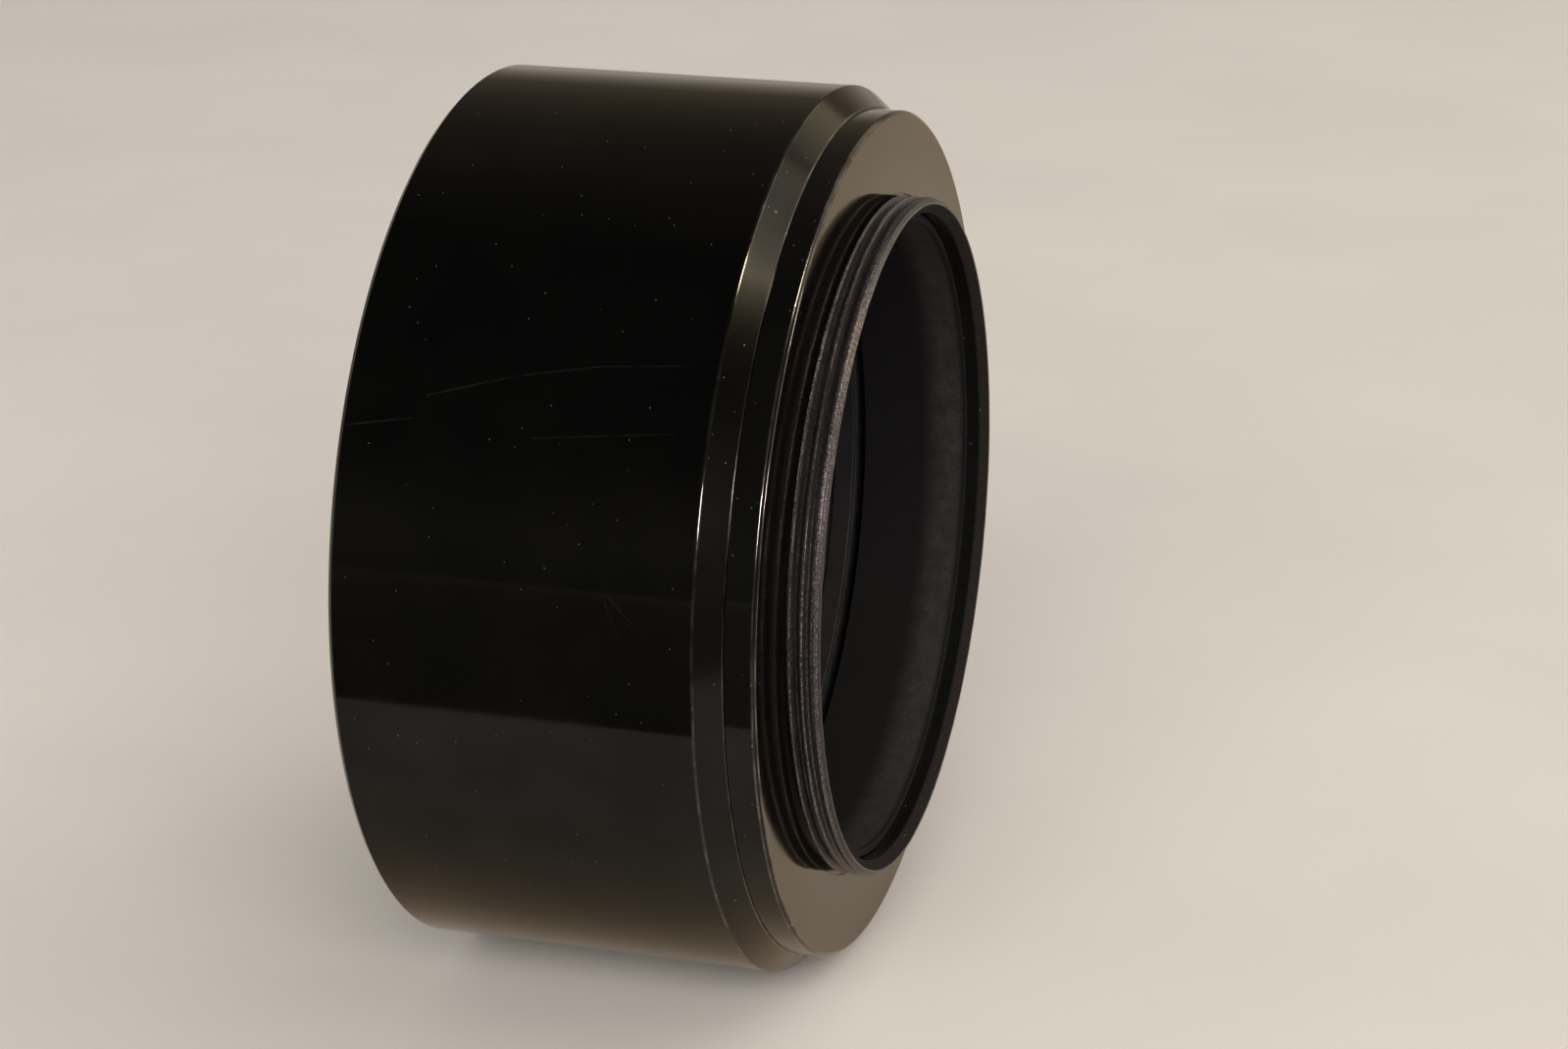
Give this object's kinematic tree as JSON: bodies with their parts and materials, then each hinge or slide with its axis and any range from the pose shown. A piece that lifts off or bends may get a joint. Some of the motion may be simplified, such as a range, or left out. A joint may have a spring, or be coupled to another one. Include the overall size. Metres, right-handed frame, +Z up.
{
  "type": "barlow lens",
  "caption": "Short black screw-in barlow: a bevelled tube with a male T thread nose, a female T thread behind and a negative doublet in a threaded cell.",
  "frame": {"origin": "on the optical axis, in the plane of the seat face that the nose thread stands out of", "axes": "+X along the optical axis, out of the threaded nose; +Z up with the body lying on its side; +Y across it"},
  "size_m": [0.0272, 0.055, 0.055],
  "materials": {
    "anodised": "gloss black anodised aluminium, worn at edges and thread crests",
    "matt_anodised": "matt black anodised aluminium",
    "matt_black": "matt black light-trap paint",
    "seal": "soft black rubber",
    "spacer_foil": "thin shim",
    "crown_glass": "polished, coated",
    "flint_glass": "polished, coated"
  },
  "bodies": {
    "barrel": {"barrel": "anodised"},
    "nose_carrier": {"nose_sleeve": "matt_black"},
    "nose_ring": {"nose_ring": "anodised"},
    "rear_carrier": {"rear_baffle": "matt_black"},
    "rear_ring": {"rear_ring": "anodised"},
    "glass_stack": {"biconcave_element": "crown_glass", "element_spacer": "spacer_foil", "meniscus_element": "flint_glass", "rear_seat_ring": "seal"},
    "lens_cell": {"lens_cell": "matt_anodised", "cell_lock_ring": "matt_anodised"},
    "retainer_carrier": {"seat_gasket": "seal"},
    "retaining_ring": {"retaining_ring": "matt_anodised"}
  },
  "joints": [
    {"name": "nose_ring_travel", "type": "slide", "parent": "barrel", "child": "nose_carrier", "axis": [1, 0, 0], "range_m": [0, 0.00375]},
    {"name": "nose_ring_turn", "type": "hinge", "parent": "nose_carrier", "child": "nose_ring", "pos_m": [0, 0, 0], "axis": [1, 0, 0], "range_deg": [0, 1800]},
    {"name": "rear_ring_travel", "type": "slide", "parent": "barrel", "child": "rear_carrier", "axis": [-1, 0, 0], "range_m": [0, 0.00375]},
    {"name": "rear_ring_turn", "type": "hinge", "parent": "rear_carrier", "child": "rear_ring", "pos_m": [0, 0, 0], "axis": [-1, 0, 0], "range_deg": [0, 1800]},
    {"name": "lens_cell_travel", "type": "slide", "parent": "barrel", "child": "glass_stack", "axis": [-1, 0, 0], "range_m": [0, 0.0015]},
    {"name": "lens_cell_turn", "type": "hinge", "parent": "glass_stack", "child": "lens_cell", "pos_m": [0, 0, 0], "axis": [-1, 0, 0], "range_deg": [0, 720]},
    {"name": "retaining_ring_travel", "type": "slide", "parent": "lens_cell", "child": "retainer_carrier", "axis": [1, 0, 0], "range_m": [0, 0.0015]},
    {"name": "retaining_ring_turn", "type": "hinge", "parent": "retainer_carrier", "child": "retaining_ring", "pos_m": [0, 0, 0], "axis": [1, 0, 0], "range_deg": [0, 720]}
  ],
  "couplings": [
    {"joint": "nose_ring_travel", "follows": "nose_ring_turn", "m_per_rad": 0.00011937},
    {"joint": "rear_ring_travel", "follows": "rear_ring_turn", "m_per_rad": 0.00011937},
    {"joint": "lens_cell_travel", "follows": "lens_cell_turn", "m_per_rad": 0.00011937},
    {"joint": "retaining_ring_travel", "follows": "retaining_ring_turn", "m_per_rad": 0.00011937}
  ]
}
